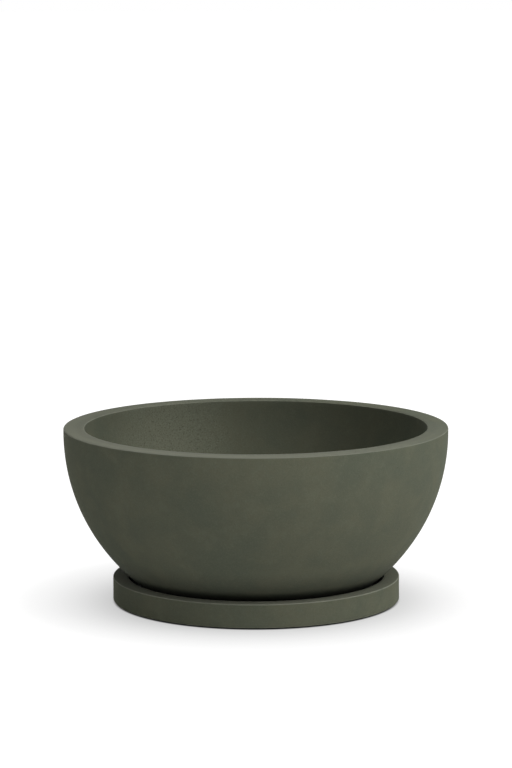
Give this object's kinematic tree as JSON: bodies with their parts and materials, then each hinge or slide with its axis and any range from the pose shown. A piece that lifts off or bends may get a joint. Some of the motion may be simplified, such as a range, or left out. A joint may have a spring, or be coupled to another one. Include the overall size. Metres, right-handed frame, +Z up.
{
  "type": "bowl planter",
  "caption": "Low round bowl planter in matte olive-grey cast cement with a thick flat rim, standing in a shallow saucer, with rubber pads and a drain plug.",
  "frame": {"origin": "on the ground, under the centre of the saucer", "axes": "+Z up along the axis of the bowl and the saucer; the bowl's pads lie on +X, +Y, -X and -Y, the saucer's pads midway between them, and the plug's tab is flat to the XZ plane"},
  "size_m": [0.4, 0.3998, 0.183],
  "materials": {
    "bowl_cement": "matte fibre cement, through-coloured olive grey, fine sandy grain and soft clouds",
    "saucer_cement": "matte fibre cement, through-coloured olive grey, fine sandy grain and soft clouds",
    "plug_rubber": "moulded black rubber, satin",
    "saucer_pad_rubber": "black rubber, matte",
    "bowl_pad_silicone": "grey silicone rubber, satin"
  },
  "bodies": {
    "saucer": {"saucer": "saucer_cement", "saucer_pad_1": "saucer_pad_rubber", "saucer_pad_2": "saucer_pad_rubber", "saucer_pad_3": "saucer_pad_rubber", "saucer_pad_4": "saucer_pad_rubber"},
    "bowl": {"bowl": "bowl_cement", "bowl_pad_1": "bowl_pad_silicone", "bowl_pad_2": "bowl_pad_silicone", "bowl_pad_3": "bowl_pad_silicone", "bowl_pad_4": "bowl_pad_silicone"},
    "drain_plug": {"drain_plug": "plug_rubber"}
  },
  "joints": [
    {"name": "bowl_lift", "type": "slide", "parent": "saucer", "child": "bowl", "axis": [0, 0, 1], "range_m": [0, 0.1]},
    {"name": "plug_pull", "type": "slide", "parent": "bowl", "child": "drain_plug", "axis": [0, 0, 1], "range_m": [0, 0.18]}
  ]
}
